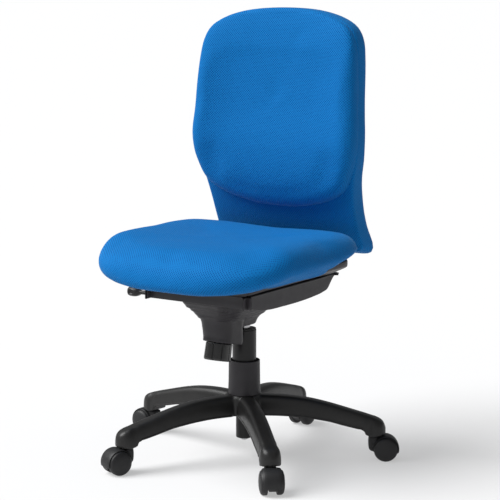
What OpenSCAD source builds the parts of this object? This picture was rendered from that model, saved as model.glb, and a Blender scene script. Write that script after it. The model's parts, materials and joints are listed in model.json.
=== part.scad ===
// Swivel office chair without armrests: five-arm base on twin-wheel casters, gas lift,
// synchronised tilt mechanism, upholstered seat and upholstered backrest.
// Origin: on the column axis at floor level. +Z up, the sitter faces -Y, +X is the sitter's left.

/* [Base] */
// Radius from the column axis to each caster stem
socket_r = 276; // [268:1:282]
// Width of an arm where it leaves the hub
arm_root_w = 40; // [37:1:42]
// Width of an arm at its outer end
arm_tip_w = 38; // [36:1:40]
// Turn of the whole star about the column, degrees
star_turn = 242.7; // [236:0.1:250]

/* [Casters] */
// Radius of a caster wheel
wheel_r = 25; // [24.5:0.5:25]
// Distance from the stem axis back to the wheel axle
caster_trail = 20; // [18:0.5:21]
// Width over both wheels of one caster
caster_w = 51; // [50:1:54]

/* [Gas lift] */
// Outer radius of the standpipe
standpipe_r = 25; // [24.8:0.1:25]
// Height of the standpipe's top
standpipe_top = 271; // [268:1:272]
// Outer radius of the chromed pressure tube
tube_r = 12.5; // [12.3:0.1:12.6]
// Outer radius of the sleeve that covers the foot of the column
sleeve_r = 32.6; // [31:0.1:34]
// Height of the sleeve's open top
sleeve_top = 206; // [190:1:214]

/* [Mechanism] */
// Half width of the seat carrier
carrier_hw = 120; // [110:1:126]
// Height of the seat carrier's flat top
carrier_top = 377; // [376:0.5:377]
// Radius of the tension knob
knob_r = 27; // [24:0.5:29]
// Lean of the tension knob's axis from the vertical, degrees
knob_lean = 12; // [11:0.5:13]
// Distance from the column to the outer end of the height lever
lever_reach = 236; // [225:1:250]

/* [Seat] */
// Half width of the cushion
seat_hw = 240; // [228:1:250]
// Distance from the column forward to the cushion's front
seat_front = 298; // [290:1:306]
// Distance from the column back to the cushion's rear
seat_rear = 154; // [150:1:155]
// Height of the cushion's top
seat_top = 470; // [462:1:478]

/* [Back] */
// Half width of the backrest at its widest
back_hw = 195; // [185:1:205]
// Height of the backrest's top
back_top = 932; // [925:1:940]

/* [Hidden] */
$fn = 64;

eps = 0.01;        // overlap that keeps a cut clean
fit_gap = 0.05;    // radial clearance of a running fit
part_gap = 0.4;    // gap between parts that only rest side by side

// Star base
arm_count = 5;
arm_step = 360 / arm_count;
hub_r = 38;
hub_low = 90;
hub_high = 135;
arm_end = socket_r + 20;
knuckle_r = 21;
socket_low = 54;
stem_r = 5.5;
stem_top = 84;
stem_flange_r = 9;

// Heights of an arm's crown and underside, as [distance from the column, height]
arm_crown = [
    [28, 134], [46, 134], [97, 132], [133, 128], [185, 117], [205, 109],
    [240, 102], [257, 96], [socket_r - 1, 92], [socket_r + 13, 86], [socket_r + 19, 79],
    [arm_end + 1, 71]
];
arm_under = [
    [arm_end + 1, socket_low], [socket_r - 20, socket_low], [socket_r - 26, 63], [235, 68],
    [205, 74], [185, 81], [145, 87], [98, 91], [28, 91]
];

// Gas lift
foot_r = 17.5;          // the standpipe's narrow foot, below the hub
foot_low = 40;
foot_wall = 2;
pipe_wall = 2;
taper_low = 92;
taper_r = standpipe_r - 1.6;
rod_r = 5;
rod_low = 34;
piston_low = 192;
piston_h = 14;
tube_low = 60;
tube_top = 338;
tube_bore_r = tube_r - 1;
boss_low = 283;
boss_r = 20;
pin_r = 4;
pin_top = 345;
ball_count = 9;
ball_r = 2.4;
race_r = 13.5;
race_top = 45;

// Casters, all in the caster's own frame: u across the wheels, v along the trail
caster_turn = [246, 310, 34, 88, 172];
wheel_in = 9.3;
wheel_out = caster_w / 2;
axle_r = 3;
hood_gap = 1.2;
hood_wall = 2.5;
hood_hw = 18.5;
web_hw = 8.6;
neck_r = 10;
neck_top = 52;

// Tilt mechanism; places are [y, z]
seat_pivot = [-150, 360];
recline_pivot = [40, 332];
link_place = [137, 352];
link_travel = 4;
link_r = 4;
shaft_r = 6;
pivot_r = 5;
plate_in = 44;
plate_out = 47.5;
bracket_in = 50;
bracket_out = 54;
lug_in = 56;
lug_out = 60;
carrier_front = -167;
carrier_rear = 172;
carrier_low = 337;
// Lower edge of the carrier's side walls, as [y, z]
carrier_under = [
    [carrier_front, 350], [-148, 348], [-122, 342], [-92, 338], [-40, carrier_low],
    [30, carrier_low], [85, 339.5], [125, 343.5], [148, 348]
];
skin = 3;
cover_wall = 2.8;
funnel_round = 28;

// Tension knob and its bolt, along a leaning axis through this point
knob_place = [0, -92, 257];
knob_h = 36;
flute_count = 9;
bolt_r = 6;
bolt_foot = 8 - knob_h;
bolt_tip = 68;
nut_low = 53.5;
nut_h = 6;
coil_r = 13;
wire_r = 2.6;
coil_turns = 3;
coil_in = 25;
coil_out = 40;
wire_sides = 8;
coil_steps = 16;
leg_front = -80;

// Height lever
trunnion = [-36, 341];      // [x, z]
lever_y = -70;
lever_z = 337;
lever_r = 5;
socket_out = 62;

// Seat
shell_low = 377.4;
shell_wall = 4;
shell_flat = 120;
shell_hw = 178;
shell_rim_low = 403;
shell_rim_top = 414;
shell_rear = 148;
shell_front = 250;
board_low = 382;
board_h = 11;
board_hw = 120;
bolt_x = 90;
bolt_ys = [-110, 100];
screw_r = 3;
screw_head_r = 5.5;
nut_r = 4.5;
nut_flange_r = 9;

// Back: curves of its rear and of its inner panel's front, as [y, z]
back_low = 415;
back_rear_curve = [
    [222, back_low], [233, 424], [203, 475], [176, 545], [160, 590], [152, 640],
    [156, 740], [165, 840], [167, 900], [160, back_top]
];
back_panel_curve = [
    [188, back_low], [158, 470], [129, 545], [116, 600], [112, 640], [118, 740],
    [130, 840], [138, back_top]
];
back_rim_curve = [
    [135, 512], [112, 545], [96, 590], [88, 640], [95, 740], [107, 840], [116, 910], [128, back_top]
];
panel_front = 3;
panel_h = 10;
panel_low = 440;
panel_inset = 16;
bar_h = 7;
bar_gap = 0.9;
bar_hw = 32;
bar_ends = [[146, 346], [178, 350], [198, 366], [206, 392]];
bar_top = 640;
back_bolt_zs = [500, 560, 620];
back_bolt_x = 18;

dark_plastic = [0.20, 0.19, 0.20];
black_plastic = [0.09, 0.09, 0.10];
steel = [0.62, 0.63, 0.65];
fabric_blue = [0.05, 0.35, 0.72];

// ---------- shared shapes ----------

function reversed(list) = [for (i = [len(list) - 1 : -1 : 0]) list[i]];

// Value of a [y, z] curve's y at height z
function curve_y(curve, z, i = 0) =
    (z <= curve[i + 1][1] || i == len(curve) - 2)
        ? curve[i][0] + (curve[i + 1][0] - curve[i][0]) * (z - curve[i][1])
            / (curve[i + 1][1] - curve[i][1])
        : curve_y(curve, z, i + 1);

// Points of an arc from angle a0 to a1
function arc(centre, r, a0, a1, steps = 6) =
    [for (i = [0 : steps]) let (a = a0 + (a1 - a0) * i / steps)
        [centre[0] + r * cos(a), centre[1] + r * sin(a)]];

// Solid whose outline in the side view is a [y, z] polygon, from x0 to x1
module side_solid(points, x0, x1) {
    translate([x0, 0, 0]) rotate([90, 0, 90]) linear_extrude(x1 - x0) polygon(points);
}

// Solid whose outline in the front view is an [x, z] polygon, from y0 to y1
module front_solid(points, y0, y1) {
    translate([0, y1, 0]) rotate([90, 0, 0]) linear_extrude(y1 - y0) polygon(points);
}

// Round bar along X at [y, z]
module x_bar(place, r, x0, x1) {
    translate([x0, place[0], place[1]]) rotate([0, 90, 0]) cylinder(r = r, h = x1 - x0);
}

// The same shape on both sides of the middle plane
module both_sides() {
    children();
    mirror([1, 0, 0]) children();
}

// Moves a shape from the leaning tension axis (along its Z) into place
module on_tension_axis() {
    translate(knob_place) rotate([-knob_lean, 0, 0]) children();
}

// ---------- base and gas lift ----------

module arm_solid() {
    intersection() {
        rotate([90, 0, 0])
            linear_extrude(arm_root_w + 10, center = true)
                polygon(concat(arm_crown, arm_under));
        translate([0, 0, socket_low - 1])
            linear_extrude(hub_high - socket_low + 2)
                polygon(concat(
                    [[27, -arm_root_w / 2], [socket_r - 30, -arm_tip_w / 2]],
                    arc([arm_end - knuckle_r, 0], knuckle_r, -100, 100, 12),
                    [[socket_r - 30, arm_tip_w / 2], [27, arm_root_w / 2]]
                ));
    }
}

// Channel moulded into the underside of an arm
module arm_channel() {
    channel_w = 20;
    translate([0, channel_w / 2, 0]) rotate([90, 0, 0]) linear_extrude(channel_w)
        polygon([[62, 80], [62, 127], [130, 122], [185, 111], [235, 96], [235, 60]]);
}

module star_base() {
    color(black_plastic)
    difference() {
        union() {
            translate([0, 0, hub_low]) cylinder(r = hub_r, h = hub_high - hub_low);
            for (i = [0 : arm_count - 1]) rotate([0, 0, star_turn + i * arm_step]) arm_solid();
        }
        translate([0, 0, hub_low - 1]) cylinder(r = foot_r + part_gap, h = 4);
        translate([0, 0, taper_low])
            cylinder(r1 = taper_r, r2 = standpipe_r, h = hub_high + 1 - taper_low);
        for (i = [0 : arm_count - 1]) rotate([0, 0, star_turn + i * arm_step]) {
            arm_channel();
            translate([socket_r, 0, socket_low - 1])
                cylinder(r = stem_r, h = stem_top - socket_low + 1);
        }
    }
}

module column_sleeve() {
    wall = 2.2;
    foot = 34;
    inner = standpipe_r + part_gap;
    color(dark_plastic)
    rotate_extrude() polygon([
        [inner, hub_high + 0.1], [foot, hub_high + 0.1], [sleeve_r + 0.6, hub_high + 24],
        [sleeve_r, sleeve_top - 1], [sleeve_r - 1, sleeve_top], [sleeve_r - wall, sleeve_top],
        [sleeve_r - wall, hub_high + 5], [inner, hub_high + 5]
    ]);
}

module standpipe() {
    hub_top = hub_high + 1;
    color(black_plastic)
    rotate_extrude() polygon([
        [rod_r + 1.5, foot_low], [foot_r - 1, foot_low], [foot_r, foot_low + 1],
        [foot_r, taper_low - 2], [taper_r, taper_low], [standpipe_r, hub_top],
        [standpipe_r, standpipe_top - 1], [standpipe_r - 0.6, standpipe_top],
        [standpipe_r - pipe_wall, standpipe_top], [standpipe_r - pipe_wall, hub_top + 8],
        [taper_r - pipe_wall, taper_low + 2], [foot_r - foot_wall, taper_low],
        [foot_r - foot_wall, foot_low + 3], [rod_r + 1.5, foot_low + 3]
    ]);
}

module guide_bush() {
    bush_r = standpipe_r - pipe_wall - fit_gap;
    flange_h = 2;
    bush_low = 236;
    color(dark_plastic)
    difference() {
        union() {
            translate([0, 0, bush_low]) cylinder(r = bush_r, h = standpipe_top - bush_low + 1);
            translate([0, 0, standpipe_top + 0.05]) cylinder(r = standpipe_r - 0.8, h = flange_h);
        }
        translate([0, 0, bush_low - 1])
            cylinder(r = tube_r + fit_gap, h = standpipe_top - bush_low + flange_h + 3);
    }
}

// Lower race with its ring of balls
module thrust_bearing() {
    pitch_r = 9.7;
    seat = 0.4;
    color(steel) {
        difference() {
            translate([0, 0, foot_low + 3.05]) cylinder(r = race_r, h = race_top - foot_low - 3.05);
            translate([0, 0, foot_low]) cylinder(r = rod_r + 1.5, h = 20);
        }
        for (i = [0 : ball_count - 1])
            rotate([0, 0, i * 360 / ball_count])
                translate([pitch_r, 0, race_top + ball_r - seat]) sphere(r = ball_r, $fn = 32);
    }
}

module bearing_washer() {
    color(steel)
    translate([0, 0, race_top + 4.5]) difference() {
        cylinder(r = race_r, h = 2);
        translate([0, 0, -1]) cylinder(r = rod_r, h = 4);
    }
}

module piston_rod() {
    shoulder_low = race_top + 6.5;
    shoulder_r = 9;
    groove_r = 4.2;
    groove = [36.4, 38.6];
    color(steel)
    rotate_extrude() polygon([
        [0, rod_low], [rod_r - 1, rod_low], [rod_r, rod_low + 1], [rod_r, groove[0]],
        [groove_r, groove[0]], [groove_r, groove[1]], [rod_r, groove[1]], [rod_r, shoulder_low],
        [shoulder_r, shoulder_low], [shoulder_r, shoulder_low + 4], [rod_r, shoulder_low + 4],
        [rod_r, piston_low], [tube_bore_r - fit_gap, piston_low],
        [tube_bore_r - fit_gap, piston_low + piston_h], [0, piston_low + piston_h]
    ]);
}

module retaining_clip() {
    clip_h = 2;
    color(steel)
    translate([0, 0, 36.5]) difference() {
        cylinder(r = 9, h = clip_h);
        translate([0, 0, -1]) cylinder(r = 4.25, h = clip_h + 2);
        translate([-4, 0, -1]) cube([8, 12, clip_h + 2]);
    }
}

module pressure_tube() {
    gland_h = 18;
    cap_low = 325;
    tip_r = tube_r - 0.7;
    color(steel)
    rotate_extrude() polygon([
        [rod_r + fit_gap, tube_low], [tube_r - 1, tube_low], [tube_r, tube_low + 1],
        [tube_r, boss_low], [tip_r, tube_top], [pin_r + fit_gap, tube_top],
        [pin_r + fit_gap, cap_low], [tube_bore_r, cap_low - 3], [tube_bore_r, tube_low + gland_h],
        [rod_r + fit_gap, tube_low + gland_h]
    ]);
}

module release_pin() {
    color(dark_plastic)
    rotate_extrude() polygon([
        [0, 329.5], [pin_r, 329.5], [pin_r, pin_top - 2], [2.5, pin_top], [0, pin_top]
    ]);
}

// ---------- tilt mechanism ----------

// Side plate of the housing, in the side view
module housing_plate() {
    side_solid([
        [56, 322], [60, 330], [58, 343], [46, 346], [-140, 368], [-150, 370], [-158, 366],
        [-160, 360], [-158, 353], [-146, 349], [-128, 346], [-104, 318], [-90, 314],
        [22, 314], [40, 319]
    ], plate_in, plate_out);
}

module trunnion_lug(y0, y1) {
    translate([-plate_in - 1, y0, trunnion[1] - 8])
        cube([plate_in + 1 - 29, y1 - y0, 15]);
}

module mechanism_housing() {
    floor_low = 312.8;
    floor_h = 3;
    floor_hw = plate_in + 0.6;
    lever_hole_r = 10.5;
    color([0.16, 0.16, 0.17])
    difference() {
        union() {
            translate([0, 0, boss_low]) cylinder(r = boss_r, h = tube_top - boss_low);
            translate([-floor_hw, -44, floor_low]) cube([2 * floor_hw, 64, floor_h]);
            both_sides() housing_plate();
            trunnion_lug(-90, -82);
            trunnion_lug(8, 13);
            // cross tie behind the seat pivot
            translate([-plate_in - 1, -136, 355]) cube([2 * plate_in + 2, 10, 5]);
        }
        translate([0, 0, boss_low])
            cylinder(r1 = tube_r, r2 = tube_r - 0.7, h = tube_top - boss_low + eps);
        translate([0, 0, boss_low - 1]) cylinder(r = tube_r, h = 1 + eps);
        x_bar(seat_pivot, pivot_r + fit_gap, -60, 60);
        x_bar(recline_pivot, shaft_r + fit_gap, -60, 60);
        x_bar([lever_y, lever_z], lever_hole_r, -60, -40);
        translate([trunnion[0], -100, trunnion[1]])
            rotate([-90, 0, 0]) cylinder(r = pin_r + fit_gap, h = 120);
    }
}

// Four upright posts at the corners of a rounded rectangle, for a hull
module corner_posts(hx, y0, y1, r, z, h) {
    for (x = [-hx + r, hx - r], y = [y0 + r, y1 - r])
        translate([x, y, z]) cylinder(r = r, h = h, $fn = 32);
}

// Level slices of the funnel, drawn in by inset: at its waist and at its top
module funnel_waist(inset) {
    corner_posts(36 - inset, inset - 124, -36 - inset, funnel_round - inset, 301, 1);
}

module funnel_top(inset, rise) {
    corner_posts(42 - inset, inset - 164.5, -30 - inset, funnel_round / 2 - inset, 344.5 + rise, 1);
}

// The funnel that drops from the cover to the tension knob; an inset above 0 gives its inside
module funnel(inset) {
    mouth_hx = 33;
    mouth_hy = 38;
    deep = inset > 0 ? 4.5 : 0;
    rise = inset > 0 ? 2 : 0;
    hull() {
        on_tension_axis() translate([0, 12.5, 1 + deep])
            corner_posts(mouth_hx - inset, inset - mouth_hy, mouth_hy - inset,
                         funnel_round - inset, 0, 1);
        funnel_waist(inset);
    }
    hull() {
        funnel_waist(inset);
        funnel_top(inset, rise);
    }
}

// The shallow bowl around the column; an inset above 0 gives its inside
module bowl(inset) {
    rise = inset > 0 ? cover_wall + 0.2 : 0;
    intersection() {
        side_solid([
            [-138 + inset, 347 + rise], [-134 + inset, 335], [-112 + inset, 306 + rise],
            [-98, 300 + rise], [20, 300 + rise], [45, 311 + rise], [60 + rise, 322 + rise],
            [62 + rise, 347 + rise]
        ], -80, 80);
        front_solid([
            [-71 + inset, 347 + rise], [-67 + inset, 330], [-53 + inset, 311 + rise],
            [-28, 300 + rise], [28, 300 + rise], [53 - inset, 311 + rise],
            [67 - inset, 330], [71 - inset, 347 + rise]
        ], -170, 90);
    }
}

module under_cover() {
    cover_top = 346;
    color(dark_plastic)
    difference() {
        union() {
            bowl(0);
            funnel(0);
        }
        bowl(cover_wall);
        funnel(cover_wall);
        translate([-90, -180, cover_top]) cube([180, 260, 10]);
        translate([0, 0, 290]) cylinder(r = boss_r + 0.5, h = 20);
        on_tension_axis() cylinder(r = bolt_r + fit_gap, h = 12);
        // way out for the height lever
        translate([-80, lever_y - 12, 325]) cube([24, 24, 30]);
        // open rear, where the back bracket moves
        translate([-62, 44, 314]) cube([124, 30, 40]);
    }
}

// Sweep of a round wire along points that stay in planes across X or step slowly along it
module wire(points, r) {
    count = len(points);
    function way(i) = points[min(i + 1, count - 1)] - points[max(i - 1, 0)];
    function side(i) = let (w = way(i), s = cross(w, [1, 0, 0])) s / norm(s);
    function rest(i) = let (w = way(i), c = cross(side(i), w)) c / norm(c);
    rings = [for (i = [0 : count - 1]) for (k = [0 : wire_sides - 1])
        points[i] + r * (cos(k * 360 / wire_sides) * side(i) + sin(k * 360 / wire_sides) * rest(i))];
    walls = [for (i = [0 : count - 2]) for (k = [0 : wire_sides - 1])
        let (a = i * wire_sides + k, b = i * wire_sides + (k + 1) % wire_sides)
        [a, b, b + wire_sides, a + wire_sides]];
    first_cap = [for (k = [wire_sides - 1 : -1 : 0]) k];
    last_cap = [for (k = [0 : wire_sides - 1]) (count - 1) * wire_sides + k];
    polyhedron(points = rings, faces = concat([first_cap], walls, [last_cap]));
}

// Pair of torsion springs on the recline shaft; each front leg ends above a wing of the tension nut
module recline_spring() {
    steps = coil_turns * coil_steps;
    coil = [for (i = [0 : steps]) let (a = 270 - i * 360 / coil_steps, t = i / steps)
        [coil_in + (coil_out - coil_in) * t,
         recline_pivot[0] + coil_r * cos(a), recline_pivot[1] + coil_r * sin(a)]];
    leg_z = recline_pivot[1] - coil_r;
    leg = [for (y = [leg_front, -40, 0, 25]) [coil_in, y, leg_z]];
    tail = [coil_out, recline_pivot[0] + 18, leg_z];
    color(steel) both_sides() wire(concat(leg, coil, [tail]), wire_r);
}

module tension_bolt() {
    collar_r = 9;
    color(steel)
    on_tension_axis() {
        translate([0, 0, bolt_foot]) cylinder(r = bolt_r, h = bolt_tip - bolt_foot);
        translate([0, 0, 6.2]) cylinder(r = collar_r, h = 2.5);
    }
}

module tension_knob() {
    foot_flare = 1;
    flute_r = 2.2;
    color([0.06, 0.06, 0.06])
    on_tension_axis() difference() {
        translate([0, 0, -knob_h]) cylinder(r1 = knob_r + foot_flare, r2 = knob_r, h = knob_h);
        for (i = [0 : flute_count - 1])
            rotate([0, 0, i * 360 / flute_count])
                translate([knob_r + 1.8, 0, -knob_h - 1]) cylinder(r = flute_r, h = knob_h - 5, $fn = 24);
        translate([0, 0, bolt_foot]) cylinder(r = bolt_r, h = knob_h);
        translate([0, 0, -knob_h - 1]) cylinder(r = knob_r - 7, h = 4);
    }
}

module tension_nut() {
    nut_hx = 30;
    nut_hy = 13;
    color(steel)
    on_tension_axis() difference() {
        translate([-nut_hx, -nut_hy, nut_low]) cube([2 * nut_hx, 2 * nut_hy, nut_h]);
        translate([0, 0, nut_low - 1]) cylinder(r = bolt_r + fit_gap, h = nut_h + 2);
    }
}

// ---------- height lever ----------

module lever_fork() {
    arm_h = 5;
    color(dark_plastic)
    difference() {
        union() {
            translate([trunnion[0], -89, trunnion[1]])
                rotate([-90, 0, 0]) cylinder(r = pin_r, h = 103);
            x_bar([lever_y, lever_z], 8, -socket_out, trunnion[0] + 6);
            translate([trunnion[0] - 4, -5, pin_top + 0.1]) cube([4 - trunnion[0] + 5, 10, arm_h]);
            translate([trunnion[0] - 4, -5, trunnion[1]]) cube([8, 10, pin_top + 1 - trunnion[1]]);
        }
        x_bar([lever_y, lever_z], lever_r + fit_gap, -socket_out - 1, trunnion[0] - 4.5);
    }
}

module lever_rod() {
    color(steel) x_bar([lever_y, lever_z], lever_r, -lever_reach + 14, trunnion[0] - 6);
}

// Flat paddle with a hollow under it for the fingertips
module lever_grip() {
    grip_l = 46;
    grip_hw = 12;
    inner_x = -lever_reach + grip_l;
    color([0.30, 0.30, 0.31])
    difference() {
        intersection() {
            front_solid(concat(
                [[inner_x, 331], [inner_x, 343]],
                [[-lever_reach + 12, 347]],
                arc([-lever_reach + 8, 339], 8, 80, 240, 6),
                [[-lever_reach + 12, 330]]
            ), lever_y - grip_hw, lever_y + grip_hw);
            translate([0, lever_y, 320]) linear_extrude(40) polygon(concat(
                [[inner_x, -9], [inner_x, 9], [-lever_reach + 20, grip_hw]],
                arc([-lever_reach + 10, 0], grip_hw - 2, 90, 270, 10),
                [[-lever_reach + 20, -grip_hw]]
            ));
        }
        x_bar([lever_y, lever_z], lever_r + fit_gap, -lever_reach + 14 - fit_gap, inner_x + 1);
        translate([-lever_reach + 3, lever_y - 8, 326]) cube([10, 16, 16]);
    }
}

// ---------- seat ----------

module seat_pivot_pin() {
    color(steel) x_bar(seat_pivot, pivot_r, -lug_out - 2, lug_out + 2);
}

// Lug at the front of the carrier, around the seat pivot
module front_lug() {
    difference() {
        side_solid([
            [-162, carrier_top - 1], [-160, 354], [-154, 350.5], [-146, 350.5], [-140, 354],
            [-134, carrier_top - 1]
        ], lug_in, lug_out);
        x_bar(seat_pivot, pivot_r, lug_in - 1, lug_out + 1);
    }
}

// Lug near the rear of the carrier, with the slot that the link pin slides along
module rear_lug() {
    slot_r = link_r + 0.6;
    difference() {
        side_solid([
            [104, carrier_top - 1], [124, 347], [130, 343.5], [150, 343.5], [154, 347],
            [160, carrier_top - 1]
        ], lug_in, lug_out);
        for (step = [0, link_travel])
            x_bar([link_place[0] + step, link_place[1]], slot_r, lug_in - 1, lug_out + 1);
        translate([lug_in - 1, link_place[0], link_place[1] - slot_r])
            cube([lug_out - lug_in + 2, link_travel, 2 * slot_r]);
    }
}

module seat_carrier() {
    ledge = 2;
    inner = carrier_hw - skin;
    color(dark_plastic)
    difference() {
        union() {
            difference() {
                side_solid(concat(
                    carrier_under, [[carrier_rear, carrier_top], [carrier_front, carrier_top]]
                ), -carrier_hw, carrier_hw);
                translate([-inner, carrier_front + skin, carrier_low - 1])
                    cube([2 * inner, 400, carrier_top - skin - carrier_low + 1]);
            }
            translate([-carrier_hw - ledge, carrier_front - ledge, carrier_top - 2.5])
                cube([2 * (carrier_hw + ledge), carrier_rear - carrier_front + ledge - 3, 2.5]);
            both_sides() front_lug();
            both_sides() rear_lug();
        }
        // way out for the height lever
        translate([-carrier_hw - 1, lever_y - 14, carrier_low - 1]) cube([skin + 2, 28, 30]);
        for (x = [-bolt_x, bolt_x], y = bolt_ys)
            translate([x, y, carrier_top - 10]) cylinder(r = screw_r + 0.3, h = 20);
    }
}

// Plan outline of the seat, grown or shrunk by d
function seat_outline(d) = concat(
    arc([seat_hw - 120, 34], 120 + d, 0, 62, 8),
    [[60, seat_rear - 2 + d], [0, seat_rear + d], [-60, seat_rear - 2 + d]],
    arc([-seat_hw + 120, 34], 120 + d, 118, 180, 8),
    arc([-seat_hw + 150, 150 - seat_front + 14], 150 + d, 180, 250, 8),
    [[-70, 1 - seat_front - d], [0, -seat_front - d], [70, 1 - seat_front - d]],
    arc([seat_hw - 150, 150 - seat_front + 14], 150 + d, 290, 360, 8)
);

module seat_shell() {
    color(dark_plastic)
    difference() {
        intersection() {
            front_solid([
                [-shell_flat, shell_low], [shell_flat, shell_low], [shell_hw, shell_rim_low],
                [shell_hw, shell_rim_top], [shell_hw - shell_wall, shell_rim_top],
                [shell_hw - shell_wall, shell_rim_low + 2],
                [shell_flat, shell_low + shell_wall], [-shell_flat, shell_low + shell_wall],
                [shell_wall - shell_hw, shell_rim_low + 2], [shell_wall - shell_hw, shell_rim_top],
                [-shell_hw, shell_rim_top], [-shell_hw, shell_rim_low]
            ], -shell_front, shell_rear);
            translate([0, 0, shell_low - 1]) linear_extrude(60) polygon(concat(
                arc([shell_hw - 40, shell_rear - 40], 40, 0, 90),
                arc([40 - shell_hw, shell_rear - 40], 40, 90, 180),
                arc([110 - shell_hw, 110 - shell_front], 110, 180, 270, 10),
                arc([shell_hw - 110, 110 - shell_front], 110, 270, 360, 10)
            ));
        }
        for (x = [-bolt_x, bolt_x], y = bolt_ys)
            translate([x, y, shell_low - 5]) cylinder(r = screw_r + 0.3, h = 20);
    }
}

module seat_board() {
    color([0.72, 0.56, 0.36])
    difference() {
        intersection() {
            translate([-board_hw, -shell_front + 20, board_low])
                cube([2 * board_hw, shell_front + shell_rear - 40, board_h]);
            translate([0, 0, board_low - 1]) linear_extrude(board_h + 2) polygon(concat(
                arc([board_hw - 30, shell_rear - 50], 30, 0, 90),
                arc([30 - board_hw, shell_rear - 50], 30, 90, 180),
                arc([80 - board_hw, 100 - shell_front], 80, 180, 270, 8),
                arc([board_hw - 80, 100 - shell_front], 80, 270, 360, 8)
            ));
        }
        for (x = [-bolt_x, bolt_x], y = bolt_ys) translate([x, y, board_low]) {
            translate([0, 0, -1]) cylinder(r = nut_r, h = board_h + 2);
            translate([0, 0, board_h - 1.5]) cylinder(r = nut_flange_r, h = 2);
        }
    }
}

// Tee nut along +Z, standing on z = 0 with its flange at the top
module tee_nut(h) {
    flange_h = 1.3;
    difference() {
        union() {
            cylinder(r = nut_r, h = h);
            translate([0, 0, h - flange_h]) cylinder(r = nut_flange_r - 0.1, h = flange_h);
        }
        translate([0, 0, -1]) cylinder(r = screw_r + 0.02, h = h + 2);
    }
}

// Cap screw along +Z with its head below z = 0
module cap_screw(h) {
    head_h = 4.5;
    socket_w = 2.5;
    difference() {
        union() {
            cylinder(r = screw_r, h = h);
            translate([0, 0, -head_h]) cylinder(r = screw_head_r, h = head_h);
        }
        translate([0, 0, -head_h - 1]) cylinder(r = socket_w, h = 3.5, $fn = 6);
    }
}

module seat_nuts() {
    color(steel)
    for (x = [-bolt_x, bolt_x], y = bolt_ys) translate([x, y, board_low + 0.1]) tee_nut(board_h - 0.3);
}

module seat_bolts() {
    under = carrier_top - skin;
    color(steel)
    for (x = [-bolt_x, bolt_x], y = bolt_ys) translate([x, y, under - 0.05]) cap_screw(17);
}

module seat_cushion() {
    low = board_low + board_h + part_gap;
    rim = shell_rim_top + part_gap;
    edge = seat_hw;
    color(fabric_blue)
    intersection() {
        translate([0, 0, low - 1]) linear_extrude(seat_top - low + 2) polygon(seat_outline(0));
        front_solid(concat(
            [[0, low], [board_hw + 10, low], [shell_hw - 10, shell_rim_low + 4],
             [shell_hw - shell_wall - 1, rim], [edge - 45, rim + 1]],
            arc([edge - 25, rim + 28], 25, -60, 60, 6),
            [[edge - 60, seat_top - 2], [0, seat_top], [60 - edge, seat_top - 2]],
            arc([25 - edge, rim + 28], 25, 120, 240, 6),
            [[45 - edge, rim + 1], [shell_wall + 1 - shell_hw, rim],
             [10 - shell_hw, shell_rim_low + 4], [-board_hw - 10, low]]
        ), -seat_front - 5, seat_rear + 5);
        side_solid([
            [seat_rear - 2, rim], [seat_rear + 1, 436], [seat_rear - 6, 457],
            [seat_rear - 30, seat_top - 1], [-120, seat_top], [-200, 467], [-252, 458],
            [8 - seat_front, 443], [-seat_front, 428], [-seat_front, 408], [14 - seat_front, 394],
            [40 - seat_front, 388], [shell_rear - 2, 388], [shell_rear + 1, rim]
        ], -seat_hw - 5, seat_hw + 5);
    }
}

// ---------- back ----------

module recline_shaft() {
    color(steel) x_bar(recline_pivot, shaft_r, -bracket_out - 1, bracket_out + 1);
}

module link_pin() {
    color(steel) x_bar(link_place, link_r, -lug_out - 1, lug_out + 1);
}

// Middle line of the bracket's bar: under the seat, then up behind the back panel
function bar_curve(top) = concat(bar_ends,
    [for (z = [420, 470, 545, 600, top])
        [curve_y(back_panel_curve, z) + panel_front + panel_h + bar_h / 2 + bar_gap, z]]
);

// Point i of a [y, z] path moved sideways by d, so that both of its edges move by d
function beside(path, i, d) = let (
    before = path[max(i, 1)] - path[max(i, 1) - 1],
    after = path[min(i + 1, len(path) - 1)] - path[min(i + 1, len(path) - 1) - 1],
    m = before / norm(before) + after / norm(after),
    side = [-m[1], m[0]] / norm(m),
    turn = side * [-after[1], after[0]] / norm(after)
) path[i] + side * d / turn;

function path_edge(path, d) = [for (i = [0 : len(path) - 1]) beside(path, i, d)];

// Flat bar of thickness t that follows a [y, z] path
module bent_bar(path, t, hw) {
    side_solid(concat(path_edge(path, t / 2), reversed(path_edge(path, -t / 2))), -hw, hw);
}

module bracket_arm() {
    side_solid(concat(
        arc(recline_pivot, 10, 100, 280, 10),
        [[110, 336], [150, 340], [168, 344], [168, 352], [150, 358]],
        arc(link_place, 9, 60, 110, 4),
        [[100, 352]]
    ), bracket_in, bracket_out);
}

module back_bracket() {
    color([0.13, 0.13, 0.14])
    difference() {
        union() {
            both_sides() bracket_arm();
            translate([-bracket_out, 148, 342.5]) cube([2 * bracket_out, 20, bar_h]);
            bent_bar(bar_curve(bar_top), bar_h, bar_hw);
        }
        x_bar(recline_pivot, shaft_r, -bracket_out - 1, bracket_out + 1);
        x_bar(link_place, link_r, -bracket_out - 1, bracket_out + 1);
        for (x = [-back_bolt_x, back_bolt_x], z = back_bolt_zs) back_bolt_hole(x, z, screw_r + 0.3);
    }
}

// Round hole through the back structure at [x, z]
module back_bolt_hole(x, z, r) {
    translate([x, curve_y(back_panel_curve, z) - 4, z]) rotate([-90, 0, 0]) cylinder(r = r, h = 60);
}

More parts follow.
